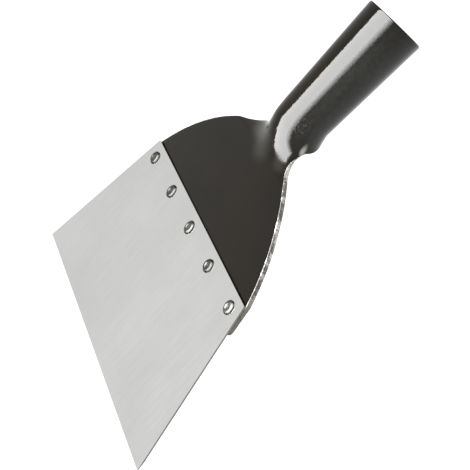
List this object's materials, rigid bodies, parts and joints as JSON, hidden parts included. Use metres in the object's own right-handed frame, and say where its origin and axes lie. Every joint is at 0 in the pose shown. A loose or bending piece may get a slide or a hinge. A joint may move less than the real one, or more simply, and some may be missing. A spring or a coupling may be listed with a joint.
{
  "type": "floor scraper",
  "caption": "Floor scraper head: wide flared steel blade riveted to a black pressed plate that rolls into a tapered handle socket.",
  "frame": {"origin": "under the middle of the whole head, at the height of its lowest point, under the socket", "axes": "+Y from the cutting edge to the handle, along the long dimension; +Z out of the riveted face, the shortest dimension; X across the blade, which is a plane of symmetry"},
  "size_m": [0.2, 0.2402, 0.0365],
  "materials": {
    "blade_steel": "satin ground spring steel",
    "black_paint": "semi-gloss black paint over pressed steel",
    "weld_paint": "semi-gloss black paint over a rippled weld",
    "rivet_steel": "bright zinc-coloured steel, peened"
  },
  "bodies": {
    "root": {"blade": "blade_steel", "head": "black_paint", "seam_weld": "weld_paint", "rivet_1": "rivet_steel", "rivet_2": "rivet_steel", "rivet_3": "rivet_steel", "rivet_4": "rivet_steel", "rivet_5": "rivet_steel"}
  },
  "joints": []
}
